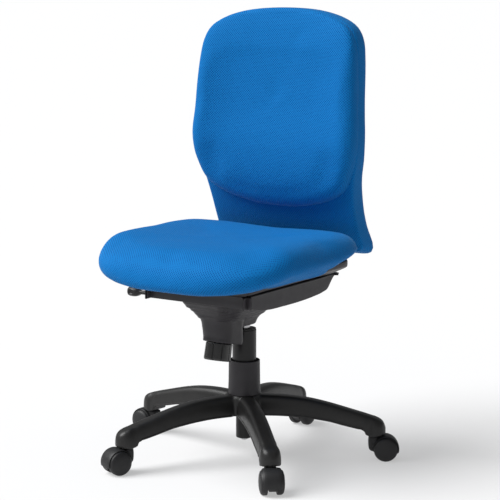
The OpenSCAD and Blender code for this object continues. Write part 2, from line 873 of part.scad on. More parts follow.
// Front-view outline of the backrest, drawn in by d
function back_outline(d) = concat(
    [[-178 + d, back_low + d], [178 - d, back_low + d], [175 - d, 470], [176 - d, 545],
     [back_hw - 7 - d, 590], [back_hw - d, 640], [back_hw - 2 - d, 720], [back_hw - 9 - d, 810]],
    arc([back_hw - 82, back_top - 72], 72 - d, 0, 74, 8),
    [[0, back_top - d]],
    arc([82 - back_hw, back_top - 72], 72 - d, 106, 180, 8),
    [[9 - back_hw + d, 810], [2 - back_hw + d, 720], [d - back_hw, 640], [7 - back_hw + d, 590],
     [-176 + d, 545], [-175 + d, 470]]
);

module back_band(front_curve, rear_curve, hw) {
    side_solid(concat(front_curve, reversed(rear_curve)), -hw, hw);
}

// Curve of the panel shifted back by d and cut off below
function panel_line(d, low) = concat(
    [[curve_y(back_panel_curve, low) + d, low]],
    [for (p = back_panel_curve) if (p[1] > low) [p[0] + d, p[1]]]
);

module back_panel_solid(grow) {
    intersection() {
        back_band(panel_line(panel_front - grow, panel_low - grow),
                  panel_line(panel_front + panel_h + grow, panel_low - grow), back_hw);
        front_solid(back_outline(panel_inset - grow), 60, 260);
    }
}

module back_panel() {
    color([0.72, 0.56, 0.36])
    difference() {
        back_panel_solid(0);
        for (x = [-back_bolt_x, back_bolt_x], z = back_bolt_zs) back_bolt_hole(x, z, nut_r);
    }
}

// Nuts sunk in the panel, below both of its sloping faces
module back_nuts() {
    sunk = 2.4;
    color(steel)
    for (x = [-back_bolt_x, back_bolt_x], z = back_bolt_zs)
        translate([x, curve_y(back_panel_curve, z) + panel_front + panel_h - sunk, z])
            rotate([90, 0, 0]) difference() {
                cylinder(r = nut_r - 0.02, h = panel_h - 2 * sunk);
                translate([0, 0, -1]) cylinder(r = screw_r + 0.02, h = panel_h);
            }
}

module back_bolts() {
    head_h = 4.5;
    bolt_l = 17;
    // the head stands clear of the bar's sloping rear face
    behind = panel_front + panel_h + bar_gap + bar_h + 3.4;
    color(steel)
    for (x = [-back_bolt_x, back_bolt_x], z = back_bolt_zs)
        translate([x, curve_y(back_panel_curve, z) + behind, z]) rotate([90, 0, 0]) {
            cylinder(r = screw_r, h = bolt_l);
            translate([0, 0, -head_h]) cylinder(r = screw_head_r, h = head_h);
        }
}

// Front-view outline of the raised pad: the backrest's own outline above, a wide curve below
function pad_outline(d) = concat(
    [for (i = [-10 : 10]) let (t = i / 10)
        [(back_hw - 12 - d) * t, 514 + d + 76 * pow(abs(t), 3)]],
    [[back_hw - 4 - d, 640], [back_hw - 6 - d, 720], [back_hw - 13 - d, 810]],
    arc([back_hw - 86, back_top - 76], 72 - d, 0, 74, 8),
    [[0, back_top - 5 - d]],
    arc([86 - back_hw, back_top - 76], 72 - d, 106, 180, 8),
    [[13 - back_hw + d, 810], [6 - back_hw + d, 720], [4 - back_hw + d, 640]]
);

module back_pad() {
    color(fabric_blue)
    intersection() {
        back_band(back_rim_curve, panel_line(-part_gap, 512), back_hw);
        front_solid(pad_outline(0), 60, 260);
    }
}

module back_cover() {
    slot = part_gap;
    color(fabric_blue)
    difference() {
        intersection() {
            back_band(back_panel_curve, back_rear_curve, back_hw);
            front_solid(back_outline(0), 60, 260);
        }
        back_panel_solid(slot);
        bent_bar(bar_curve(bar_top + 1), bar_h + 1.5, bar_hw + 1);
        for (x = [-back_bolt_x, back_bolt_x], z = back_bolt_zs)
            translate([x, curve_y(back_panel_curve, z) + panel_front + panel_h, z])
                rotate([-90, 0, 0]) cylinder(r = screw_head_r + 1, h = 18);
    }
}

// ---------- casters ----------

// Moves a caster's own frame (stem axis along Z, trail along +X) to arm i's socket
module at_caster(i) {
    a = star_turn + i * arm_step;
    translate([socket_r * cos(a), socket_r * sin(a), 0]) rotate([0, 0, caster_turn[i]]) children();
}

// Bar across the caster at the wheel axle, from u0 to u1
module axle_bar(r, u0, u1) {
    translate([caster_trail, u1, wheel_r]) rotate([90, 0, 0]) cylinder(r = r, h = u1 - u0);
}

module caster_stems() {
    color(steel)
    for (i = [0 : arm_count - 1]) at_caster(i) {
        translate([0, 0, 33]) cylinder(r = stem_r, h = stem_top - 0.5 - 33);
        translate([0, 0, neck_top + 0.4]) cylinder(r = stem_flange_r, h = 1.2);
    }
}

module hood() {
    inner = wheel_r + hood_gap;
    outer = inner + hood_wall;
    edge = inner + 1;
    front_cut = -9;
    flat_hw = 12;
    side_low = 17;
    web_low = 12;
    block_front = -15.5;
    block_hw = 12;
    block_low = 19;
    block_top = 51;
    block_round = 5;
    difference() {
        union() {
            intersection() {
                union() {
                    axle_bar(outer, -flat_hw, flat_hw);
                    for (side = [-1, 1]) hull() {
                        axle_bar(outer, side * flat_hw - 0.5, side * flat_hw + 0.5);
                        axle_bar(edge, side * (hood_hw - 0.5) - 0.5, side * (hood_hw - 0.5) + 0.5);
                    }
                }
                translate([front_cut, -40, side_low]) cube([80, 80, 60]);
            }
            intersection() {
                axle_bar(outer, -web_hw, web_hw);
                translate([front_cut, -40, web_low]) cube([80, 80, 60]);
            }
            translate([0, 0, 30]) cylinder(r = neck_r, h = neck_top - 30);
            hull() for (v = [block_front + block_round, 3], u = [-1, 1])
                translate([v, u * (block_hw - block_round), block_low])
                    cylinder(r = block_round, h = block_top - block_low);
        }
        for (u = [web_hw, -web_hw - 40]) axle_bar(inner, u, u + 40);
        translate([0, 0, 32]) cylinder(r = stem_r + fit_gap, h = 30);
        axle_bar(axle_r, -web_hw - 1, web_hw + 1);
    }
}

// Half of the twin wheel, standing on its inner face: a short tread and a domed outer side
module wheel() {
    face = wheel_out - wheel_in;
    rotate_extrude() polygon([
        [axle_r + fit_gap, 0], [wheel_r - 1.5, 0], [wheel_r, 1.5], [wheel_r, face - 7.4],
        [wheel_r - 0.5, face - 6], [wheel_r - 2, face - 4.4], [wheel_r - 5, face - 2.8],
        [wheel_r - 9, face - 1.5], [wheel_r - 15, face - 0.5], [0, face], [0, face - 3],
        [axle_r + fit_gap, face - 3]
    ]);
}

module caster_hood(i) {
    color(black_plastic) at_caster(i) hood();
}

module caster_axle(i) {
    color(steel) at_caster(i) axle_bar(axle_r, -wheel_out + 3.5, wheel_out - 3.5);
}

module wheel_left(i) {
    color(black_plastic) at_caster(i)
        translate([caster_trail, wheel_in, wheel_r]) rotate([-90, 0, 0]) wheel();
}

module wheel_right(i) {
    color(black_plastic) at_caster(i)
        translate([caster_trail, -wheel_in, wheel_r]) rotate([90, 0, 0]) wheel();
}

star_base();
column_sleeve();
standpipe();
guide_bush();
thrust_bearing();
caster_stems();
piston_rod();
bearing_washer();
retaining_clip();
pressure_tube();
release_pin();
mechanism_housing();
under_cover();
recline_spring();
tension_bolt();
tension_knob();
tension_nut();
lever_fork();
lever_rod();
lever_grip();
seat_pivot_pin();
seat_carrier();
seat_shell();
seat_board();
seat_nuts();
seat_bolts();
seat_cushion();
recline_shaft();
link_pin();
back_bracket();
back_panel();
back_nuts();
back_bolts();
back_cover();
back_pad();
for (i = [0 : arm_count - 1]) {
    caster_hood(i);
    caster_axle(i);
    wheel_left(i);
    wheel_right(i);
}
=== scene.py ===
"""Swivel office chair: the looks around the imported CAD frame.

Everything is in metres, in the frame's own axes: origin on the column axis at floor level, +Z up,
the sitter faces -Y and +X is the sitter's left. Outlines are written in millimetres and scaled once.
"""
import json
import math

import bmesh
import bpy
import numpy as np
from mathutils import Matrix, Vector


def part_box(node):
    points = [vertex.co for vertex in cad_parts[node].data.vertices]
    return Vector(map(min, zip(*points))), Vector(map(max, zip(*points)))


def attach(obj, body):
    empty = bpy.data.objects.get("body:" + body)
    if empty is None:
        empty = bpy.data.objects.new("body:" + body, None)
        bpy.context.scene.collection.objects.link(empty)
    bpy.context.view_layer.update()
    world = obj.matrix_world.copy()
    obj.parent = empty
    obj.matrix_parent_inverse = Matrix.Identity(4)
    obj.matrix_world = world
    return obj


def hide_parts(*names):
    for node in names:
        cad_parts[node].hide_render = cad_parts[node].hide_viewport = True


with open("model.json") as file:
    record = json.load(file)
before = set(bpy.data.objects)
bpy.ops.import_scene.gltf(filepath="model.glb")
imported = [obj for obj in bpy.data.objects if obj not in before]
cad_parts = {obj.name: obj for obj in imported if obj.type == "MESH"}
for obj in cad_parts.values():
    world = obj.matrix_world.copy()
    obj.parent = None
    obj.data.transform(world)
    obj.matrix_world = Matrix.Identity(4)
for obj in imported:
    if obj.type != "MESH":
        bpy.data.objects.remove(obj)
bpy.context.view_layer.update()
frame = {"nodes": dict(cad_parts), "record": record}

MM = 0.001
scene = bpy.context.scene


# ---------------------------------------------------------------- camera, light and floor

def add_camera():
    """A long lens at the photograph's angle: 34 degrees round to the sitter's left, 8.5 up."""
    turn, rise = math.radians(34), math.radians(8.543)
    distance, aim = 3.905, Vector((0, 0, 0.48))
    back = Vector((math.sin(turn) * math.cos(rise), -math.cos(turn) * math.cos(rise), math.sin(rise)))
    data = bpy.data.cameras.new("camera")
    data.sensor_width = 36
    data.lens = 135.98
    data.shift_x = 0.0113
    data.shift_y = -0.041
    camera = bpy.data.objects.new("camera", data)
    camera.location = aim + back * distance
    camera.rotation_euler = back.to_track_quat("Z", "Y").to_euler()
    scene.collection.objects.link(camera)
    scene.camera = camera


def add_sun(name, source, power, softness):
    """Far soft light from a direction; softness is the width of the source in degrees."""
    data = bpy.data.lights.new(name, "SUN")
    data.energy = power
    data.angle = math.radians(softness)
    light = bpy.data.objects.new(name, data)
    light.rotation_euler = Vector(source).to_track_quat("Z", "Y").to_euler()
    light.location = Vector(source) * 3
    scene.collection.objects.link(light)


def add_studio():
    world = bpy.data.worlds.new("studio")
    world.use_nodes = True
    background = world.node_tree.nodes["Background"]
    background.inputs["Color"].default_value = (0.97, 0.98, 1, 1)
    background.inputs["Strength"].default_value = 0.26
    scene.world = world
    scene.view_settings.view_transform = "Standard"
    scene.view_settings.look = "None"
    add_sun("key", (-0.64, -0.55, 0.96), 4.9, 44)
    add_sun("fill", (0.30, -0.9, 0.40), 0.28, 60)


def add_floor():
    bpy.ops.mesh.primitive_plane_add(size=300, location=(0, 0, 0))
    floor = bpy.context.object
    floor.name = "floor"
    material = bpy.data.materials.new("floor")
    material.use_nodes = True
    shader = material.node_tree.nodes["Principled BSDF"]
    shader.inputs["Base Color"].default_value = (0.40, 0.40, 0.402, 1)
    shader.inputs["Emission Color"].default_value = (1, 1, 1, 1)
    shader.inputs["Emission Strength"].default_value = 0.42
    shader.inputs["Roughness"].default_value = 0.9
    shader.inputs["Specular IOR Level"].default_value = 0.1
    floor.data.materials.append(material)


# ---------------------------------------------------------------- node materials

class Nodes:
    """A short way to write a material's node tree."""

    def __init__(self, name):
        self.material = bpy.data.materials.new(name)
        self.material.use_nodes = True
        self.tree = self.material.node_tree
        self.shader = self.tree.nodes["Principled BSDF"]
        self.coords = self.tree.nodes.new("ShaderNodeTexCoord")

    def link(self, source, target):
        self.tree.links.new(source, target)

    def set(self, **values):
        for name, value in values.items():
            self.shader.inputs[name.replace("_", " ")].default_value = value

    def math(self, operation, a, b=None, clamp=False):
        node = self.tree.nodes.new("ShaderNodeMath")
        node.operation = operation
        node.use_clamp = clamp
        for socket, value in zip(node.inputs, (a, b)):
            if value is None:
                continue
            if isinstance(value, (int, float)):
                socket.default_value = value
            else:
                self.link(value, socket)
        return node.outputs[0]

    def split(self, vector):
        node = self.tree.nodes.new("ShaderNodeSeparateXYZ")
        self.link(vector, node.inputs[0])
        return node.outputs

    def noise(self, scale, detail=3.0, roughness=0.5, stretch=None):
        node = self.tree.nodes.new("ShaderNodeTexNoise")
        node.inputs["Scale"].default_value = scale
        node.inputs["Detail"].default_value = detail
        node.inputs["Roughness"].default_value = roughness
        place = self.coords.outputs["Object"]
        if stretch:
            mapping = self.tree.nodes.new("ShaderNodeMapping")
            mapping.inputs["Scale"].default_value = stretch
            self.link(place, mapping.inputs["Vector"])
            place = mapping.outputs[0]
        self.link(place, node.inputs["Vector"])
        return node.outputs["Fac"]

    def cells(self, scale):
        node = self.tree.nodes.new("ShaderNodeTexVoronoi")
        node.inputs["Scale"].default_value = scale
        self.link(self.coords.outputs["Object"], node.inputs["Vector"])
        return node.outputs["Distance"]

    def ramp(self, fac, stops):
        node = self.tree.nodes.new("ShaderNodeValToRGB")
        ramp = node.color_ramp
        while len(ramp.elements) < len(stops):
            ramp.elements.new(0.5)
        for element, (place, colour) in zip(ramp.elements, stops):
            element.position = place
            element.color = (*colour, 1) if isinstance(colour, tuple) else (colour, colour, colour, 1)
        self.link(fac, node.inputs[0])
        return node.outputs["Color"]

    def spread(self, fac, low, high):
        """fac from 0..1 to low..high."""
        node = self.tree.nodes.new("ShaderNodeMapRange")
        node.inputs["To Min"].default_value = low
        node.inputs["To Max"].default_value = high
        self.link(fac, node.inputs["Value"])
        return node.outputs[0]

    def bump(self, height, strength, distance, before=None):
        node = self.tree.nodes.new("ShaderNodeBump")
        node.inputs["Strength"].default_value = strength
        node.inputs["Distance"].default_value = distance
        self.link(height, node.inputs["Height"])
        if before is not None:
            self.link(before, node.inputs["Normal"])
        return node.outputs[0]

    def worn_edges(self, radius=0.0015):
        """0 on flat faces, towards 1 on convex edges, from the difference a rounded normal makes."""
        bevel = self.tree.nodes.new("ShaderNodeBevel")
        bevel.inputs["Radius"].default_value = radius
        bevel.samples = 4
        geometry = self.tree.nodes.new("ShaderNodeNewGeometry")
        dot = self.tree.nodes.new("ShaderNodeVectorMath")
        dot.operation = "DOT_PRODUCT"
        self.link(bevel.outputs[0], dot.inputs[0])
        self.link(geometry.outputs["Normal"], dot.inputs[1])
        return self.math("MULTIPLY", self.math("SUBTRACT", 1.0, dot.outputs["Value"]), 3.0, clamp=True)


def mesh_fabric(name, deep, bright, cell=0.0054):
    """Blue spacer mesh: a diamond lattice of small dimples, laid from the three ways a face can look."""
    m = Nodes(name)
    place = m.split(m.coords.outputs["Object"])
    facing = m.split(m.coords.outputs["Normal"])
    turn = 2 * math.pi / cell

    def lattice(a, b):
        """Dimples in a diamond pattern, 1 on the threads and 0 in the holes."""
        one = m.math("SINE", m.math("MULTIPLY", a, turn))
        other = m.math("SINE", m.math("MULTIPLY", b, turn))
        return m.spread(m.math("MULTIPLY", one, other), 1.0, 0.0)

    weights = [m.math("POWER", m.math("ABSOLUTE", facing[i]), 6.0) for i in range(3)]
    total = m.math("ADD", m.math("ADD", weights[0], weights[1]), weights[2])
    planes = [lattice(place[1], place[2]), lattice(place[0], place[2]), lattice(place[0], place[1])]
    parts = [m.math("MULTIPLY", p, w) for p, w in zip(planes, weights)]
    weave = m.math("DIVIDE", m.math("ADD", m.math("ADD", parts[0], parts[1]), parts[2]), total)

    fuzz = m.noise(900, 2, 0.6)
    patches = m.noise(5, 2, 0.5)
    shade = m.math("ADD", m.math("MULTIPLY", weave, 0.74),
                   m.math("ADD", m.math("MULTIPLY", fuzz, 0.14), m.math("MULTIPLY", patches, 0.16)))
    m.link(m.ramp(shade, [(0.28, deep), (0.78, bright)]), m.shader.inputs["Base Color"])
    m.link(m.spread(weave, 0.88, 0.7), m.shader.inputs["Roughness"])
    m.set(Sheen_Weight=0.12, Sheen_Roughness=0.35, Specular_IOR_Level=0.08)
    m.shader.inputs["Sheen Tint"].default_value = (0.35, 0.72, 1.0, 1)
    creases = m.bump(m.noise(14, 3, 0.55), 0.25, 0.004)
    threads = m.bump(weave, 0.7, 0.0009, creases)
    m.link(m.bump(fuzz, 0.3, 0.0002, threads), m.shader.inputs["Normal"])
    return m.material


def moulded_plastic(name, colour, pale, roughness, grain=1400, grain_depth=0.00012, coat=0.0):
    """Injection-moulded plastic: spark-eroded grain, slight mottling and paler rubbed edges."""
    m = Nodes(name)
    grains = m.cells(grain)
    mottle = m.noise(28, 4, 0.6)
    edge = m.worn_edges()
    tone = m.math("ADD", m.math("MULTIPLY", mottle, 0.45), m.math("MULTIPLY", edge, 0.6), clamp=True)
    m.link(m.ramp(tone, [(0.1, colour), (1.0, pale)]), m.shader.inputs["Base Color"])
    m.link(m.spread(m.noise(60, 5, 0.65), roughness - 0.07, roughness + 0.09), m.shader.inputs["Roughness"])
    m.set(Specular_IOR_Level=0.36, Coat_Weight=coat, Coat_Roughness=0.25)
    flow = m.bump(m.noise(9, 2, 0.5), 0.15, 0.002)
    m.link(m.bump(grains, 0.5, grain_depth, flow), m.shader.inputs["Normal"])
    return m.material


def brushed_metal(name, colour, pale, roughness, stretch):
    """Metal with fine turned or drawn lines."""
    m = Nodes(name)
    lines = m.noise(220, 4, 0.7, stretch)
    m.link(m.ramp(lines, [(0.2, colour), (0.85, pale)]), m.shader.inputs["Base Color"])
    m.link(m.spread(lines, roughness - 0.06, roughness + 0.08), m.shader.inputs["Roughness"])
    m.set(Metallic=1.0)
    m.link(m.bump(lines, 0.25, 0.0001), m.shader.inputs["Normal"])
    return m.material


def coated_metal(name, colour, pale, roughness):
    """Powder coat: a faint orange peel with rubbed edges."""
    m = Nodes(name)
    peel = m.noise(420, 2, 0.5)
    edge = m.worn_edges(0.001)
    tone = m.math("ADD", m.math("MULTIPLY", m.noise(18, 3, 0.5), 0.4), edge, clamp=True)
    m.link(m.ramp(tone, [(0.1, colour), (1.0, pale)]), m.shader.inputs["Base Color"])
    m.link(m.spread(m.noise(40, 4, 0.6), roughness - 0.06, roughness + 0.08), m.shader.inputs["Roughness"])
    m.set(Coat_Weight=0.08, Coat_Roughness=0.25, Specular_IOR_Level=0.3)
    m.link(m.bump(peel, 0.25, 0.0002), m.shader.inputs["Normal"])
    return m.material


def plywood(name):
    m = Nodes(name)
    grain = m.noise(30, 6, 0.65, (1.0, 9.0, 22.0))
    m.link(m.ramp(grain, [(0.25, (0.42, 0.27, 0.14)), (0.7, (0.66, 0.48, 0.29))]),
           m.shader.inputs["Base Color"])
    m.link(m.spread(grain, 0.55, 0.75), m.shader.inputs["Roughness"])
    m.link(m.bump(grain, 0.3, 0.0003), m.shader.inputs["Normal"])
    return m.material


AZURE = (0.0006, 0.030, 0.165), (0.0018, 0.140, 0.405)
MATERIALS = {
    "seat_fabric": mesh_fabric("seat_fabric", *AZURE),
    "back_fabric": mesh_fabric("back_fabric", *AZURE),
    "dark_plastic": moulded_plastic("dark_plastic", (0.0150, 0.0136, 0.0160), (0.042, 0.038, 0.044), 0.5),
    "base_plastic": moulded_plastic("base_plastic", (0.0062, 0.0060, 0.0058), (0.026, 0.025, 0.0245), 0.4,
                                    grain=1100, grain_depth=0.00014),
    "caster_plastic": moulded_plastic("caster_plastic", (0.0060, 0.0060, 0.0066), (0.026, 0.026, 0.028), 0.5),
    "knob_plastic": moulded_plastic("knob_plastic", (0.004, 0.004, 0.004), (0.02, 0.02, 0.02), 0.28,
                                    grain=2200, grain_depth=0.00005, coat=0.4),
    "lever_plastic": moulded_plastic("lever_plastic", (0.006, 0.006, 0.0065), (0.024, 0.023, 0.025), 0.42),
    "column_paint": coated_metal("column_paint", (0.0022, 0.0020, 0.0024), (0.009, 0.0085, 0.0095), 0.42),
    "bracket_paint": coated_metal("bracket_paint", (0.006, 0.006, 0.0065), (0.03, 0.03, 0.032), 0.48),
    "chrome": brushed_metal("chrome", (0.30, 0.30, 0.31), (0.52, 0.52, 0.53), 0.2, (40.0, 40.0, 1.0)),
    "steel": brushed_metal("steel", (0.34, 0.34, 0.35), (0.6, 0.6, 0.61), 0.36, (6.0, 6.0, 6.0)),
    "plywood": plywood("plywood"),
}


# ---------------------------------------------------------------- mesh helpers

def new_piece(name, vertices, faces, slot, body, replaced=(), smooth=True):
    """A mesh piece that rides on a body, takes a slot's finish and stands for CAD nodes."""
    mesh = bpy.data.meshes.new(name)
    mesh.from_pydata([tuple(v) for v in vertices], [], [tuple(f) for f in faces])
    mesh.validate()
    tidy_normals(mesh)
    if smooth:
        mesh.shade_smooth()
    piece = bpy.data.objects.new(name, mesh)
    scene.collection.objects.link(piece)
    dress(piece, slot, body, replaced)
    return piece


def dress(piece, slot, body, replaced=()):
    piece.data.materials.clear()
    piece.data.materials.append(MATERIALS[slot])
    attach(piece, body)
    if replaced:
        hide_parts(*replaced)


def tidy_normals(mesh):
    shape = bmesh.new()
    shape.from_mesh(mesh)
    bmesh.ops.recalc_face_normals(shape, faces=shape.faces)
    shape.to_mesh(mesh)
    shape.free()


def skin(rings, cap_first=True, cap_last=True):
    """Quads between rings of equally many points; a cap is a fan to the ring's middle."""
    rings = [np.asarray(r, float) for r in rings]
    count = len(rings[0])
    vertices = list(np.concatenate(rings))
    faces = []
    for i in range(len(rings) - 1):
        for k in range(count):
            a, b = i * count + k, i * count + (k + 1) % count
            faces.append((a, b, b + count, a + count))
    for wanted, ring, start in ((cap_first, rings[0], 0), (cap_last, rings[-1], (len(rings) - 1) * count)):
        if wanted:
            middle = len(vertices)
            vertices.append(ring.mean(0))
            faces += [(start + k, start + (k + 1) % count, middle) for k in range(count)]
    return vertices, faces


def add(*shapes):
    """Several (vertices, faces) shapes as one."""
    vertices, faces = [], []
    for v, f in shapes:
        start = len(vertices)
        vertices += [tuple(p) for p in v]
        faces += [tuple(i + start for i in face) for face in f]
    return vertices, faces


def moved(shape, matrix):
    vertices, faces = shape
    return [matrix @ Vector(v) for v in vertices], faces


def revolve(profile, steps=64):
    """Surface of revolution about Z from [radius, height] points; the profile may touch the axis."""
    rings = []
    angles = np.arange(steps) * 2 * math.pi / steps
    for r, z in profile:
        rings.append(np.stack([r * np.cos(angles), r * np.sin(angles), np.full(steps, z)], 1))
    return skin(rings, cap_first=True, cap_last=True)


def ring_body(profile, steps=64):
    """Closed surface of revolution about Z whose profile is a closed loop off the axis."""
    angles = np.arange(steps) * 2 * math.pi / steps
    rings = [np.stack([r * np.cos(angles), r * np.sin(angles), np.full(steps, z)], 1)
             for r, z in [*profile, profile[0]]]
    return skin(rings, cap_first=False, cap_last=False)


def box_shape(low, high):
    (x0, y0, z0), (x1, y1, z1) = low, high
    vertices = [(x, y, z) for z in (z0, z1) for y in (y0, y1) for x in (x0, x1)]
    faces = [(0, 2, 3, 1), (4, 5, 7, 6), (0, 1, 5, 4), (2, 6, 7, 3), (0, 4, 6, 2), (1, 3, 7, 5)]
    return vertices, faces


def prism(outline, low, high, axis):
    """An outline of 2-D points pushed along an axis: "x" takes [y, z], "y" takes [x, z], "z" takes [x, y]."""
    def place(p, depth):
        return {"x": (depth, p[0], p[1]), "y": (p[0], depth, p[1]), "z": (p[0], p[1], depth)}[axis]
    return skin([[place(p, low) for p in outline], [place(p, high) for p in outline]])


def arc(middle, radius, start, end, steps=8):
    """Points of an arc in degrees."""
    return [(middle[0] + radius * math.cos(math.radians(start + (end - start) * i / steps)),
             middle[1] + radius * math.sin(math.radians(start + (end - start) * i / steps)))
            for i in range(steps + 1)]


def smooth_curve(points):
    """A function through (t, value) points with continuous slope (Catmull-Rom), flat beyond its ends."""
    t = np.array([p[0] for p in points], float)
    v = np.array([p[1] for p in points], float)
    slope = np.gradient(v, t)

    def value(x):
        x = np.clip(np.asarray(x, float), t[0], t[-1])
        i = np.clip(np.searchsorted(t, x) - 1, 0, len(t) - 2)
        h = t[i + 1] - t[i]
        s = (x - t[i]) / h
        return ((2 * s**3 - 3 * s**2 + 1) * v[i] + (s**3 - 2 * s**2 + s) * h * slope[i]
                + (3 * s**2 - 2 * s**3) * v[i + 1] + (s**3 - s**2) * h * slope[i + 1])

    return value


def ease(x, low, high):
    """0 below low, 1 above high, smooth between."""
    s = np.clip((np.asarray(x, float) - low) / (high - low), 0, 1)
    return s * s * (3 - 2 * s)


def even_loop(points, count):
    """Closed loop resampled to equally spaced points along a smooth curve through the given ones."""
    p = np.asarray(points, float)
    n = len(p)
    dense = []
    for i in range(n):
        a, b, c, d = p[i - 1], p[i], p[(i + 1) % n], p[(i + 2) % n]
        for s in np.linspace(0, 1, 16, endpoint=False):
            dense.append(0.5 * (2 * b + (c - a) * s + (2 * a - 5 * b + 4 * c - d) * s**2
                                + (3 * b - a - 3 * c + d) * s**3))
    dense = np.array(dense + [dense[0]])
    length = np.concatenate([[0], np.cumsum(np.linalg.norm(np.diff(dense, axis=0), axis=1))])
    at = np.linspace(0, length[-1], count, endpoint=False)
    return np.stack([np.interp(at, length, dense[:, k]) for k in range(2)], 1)


def drawn_in(loop, inset, middle):
    """Loop moved towards a middle point by inset, ever more slowly over the last fifth of the way."""
    away = loop - middle
    share = inset / np.linalg.norm(away, axis=1, keepdims=True)
    return middle + away * np.where(share < 0.8, 1 - share, 0.2 * np.exp((0.8 - share) / 0.2))


def apply_modifiers(piece):
    bpy.context.view_layer.update()
    depsgraph = bpy.context.evaluated_depsgraph_get()
    mesh = bpy.data.meshes.new_from_object(piece.evaluated_get(depsgraph))
    old = piece.data
    piece.modifiers.clear()
    piece.data = mesh
    bpy.data.meshes.remove(old)
    mesh.name = piece.name


def modify(piece, kind, **settings):
    modifier = piece.modifiers.new(kind.lower(), kind)
    for name, value in settings.items():
        setattr(modifier, name, value)
    return modifier


def fused(name, shape, voxel, rounds, slot, body, replaced=()):
    """One moulding from overlapping solids: voxel union, then smoothing that rounds every junction."""
    piece = new_piece(name, *shape, slot, body, replaced)
    modify(piece, "REMESH", mode="VOXEL", voxel_size=voxel, use_smooth_shade=True)
    modify(piece, "SMOOTH", factor=0.5, iterations=rounds)
    apply_modifiers(piece)
    piece.data.shade_smooth()
    return piece


def evened(values, mesh, rounds):
    """Each vertex's value averaged with its neighbours', so that taut fabric shows no puckers."""
    ends = np.empty(len(mesh.edges) * 2, np.int64)
    mesh.edges.foreach_get("vertices", ends)
    a, b = ends[0::2], ends[1::2]
    count = len(values)
    share = np.bincount(ends, minlength=count)[:, None]
    for _ in range(rounds):
        total = np.stack([np.bincount(a, values[b, k], count) + np.bincount(b, values[a, k], count)
                          for k in range(3)], 1)
        values = 0.4 * values + 0.6 * total / share
    return values


CLOTH_VOXEL, CLOTH_PRESSURE, CLOTH_FRAMES = 0.005, 4.0, 20


def padded_shape(piece, cap, pinned):
    """Upholstery by cloth simulation: the cover swells under the foam's pressure, held where pinned.

    No point moves further than cap, and the shift is evened out over its neighbours.
    """
    modify(piece, "REMESH", mode="VOXEL", voxel_size=CLOTH_VOXEL, use_smooth_shade=True)
    apply_modifiers(piece)
    rest = np.array([v.co for v in piece.data.vertices])
    group = piece.vertex_groups.new(name="held")
    group.add([i for i, p in enumerate(rest) if pinned(p)], 1.0, "REPLACE")
    cloth = modify(piece, "CLOTH")
    settings = cloth.settings
    settings.quality = 6
    settings.mass = 0.3
    settings.tension_stiffness = settings.compression_stiffness = 18
    settings.shear_stiffness = 8
    settings.bending_stiffness = 2.5
    settings.use_pressure = True
    settings.uniform_pressure_force = CLOTH_PRESSURE
    settings.effector_weights.gravity = 0
    settings.vertex_group_mass = "held"
    cloth.collision_settings.use_collision = False
    cloth.point_cache.frame_start = 1
    cloth.point_cache.frame_end = CLOTH_FRAMES
    for step in range(1, CLOTH_FRAMES + 1):
        scene.frame_set(step)
    apply_modifiers(piece)
    scene.frame_set(1)
    swollen = np.array([v.co for v in piece.data.vertices])
    shift = evened(swollen - rest, piece.data, 18)
    length = np.linalg.norm(shift, axis=1, keepdims=True)
    held_back = rest + shift * (cap * np.tanh(length / cap) / np.maximum(length, 1e-9))
    piece.data.vertices.foreach_set("co", held_back.astype(np.float32).ravel())
    modify(piece, "SMOOTH", factor=0.5, iterations=6)
    modify(piece, "SUBSURF", levels=1, render_levels=1)
    apply_modifiers(piece)
    piece.data.shade_smooth()


# ---------------------------------------------------------------- seat

SEAT_OUTLINE = [  # right half of the plan from the rear middle to the front middle, mm
    (0, 154), (62, 153), (122, 149), (172, 138), (207, 116), (229, 80), (238, 32), (239, -30),
    (239, -100), (236, -150), (226, -194), (205, -231), (177, -261), (142, -281), (98, -292),
    (50, -297), (0, -298),
]
# How far in from the outline and how high the cushion's skin is: at the sides, front and rear, mm
SEAT_PROFILE = [
    (170, 471, 469, 474), (125, 473, 469, 475), (90, 475, 467, 475), (64, 476, 465, 474),
    (44, 475, 461, 472), (30, 472, 455, 469), (19, 467, 448, 464.5), (10.5, 459.5, 440, 458),
    (4.5, 451, 431, 451), (1, 442, 421, 440), (0, 434, 411.5, 434), (1.2, 428, 403.5, 427),
    (5, 422, 397, 421), (12, 417, 392, 417), (24, 414.5, 388.5, 416), (40, 414, 387, 415),
    (58, 412, 387, 414), (66, 404, 390, 406), (84, 397, 394, 398), (130, 393.6, 393.6, 393.6),
]
SEAT_MIDDLE = np.array((0.0, -70.0))
# how much higher the sides' lower edge runs towards the rear: (distance behind the column, lift), mm
cushion_lift = smooth_curve([(-200, 0), (-140, 4.5), (-95, 7), (-50, 8.5), (10, 10), (57, 13), (80, 15),
                             (154, 17)])


def mirrored_loop(half):
    return half + [(-x, y) for x, y in reversed(half) if abs(x) > 0.5]


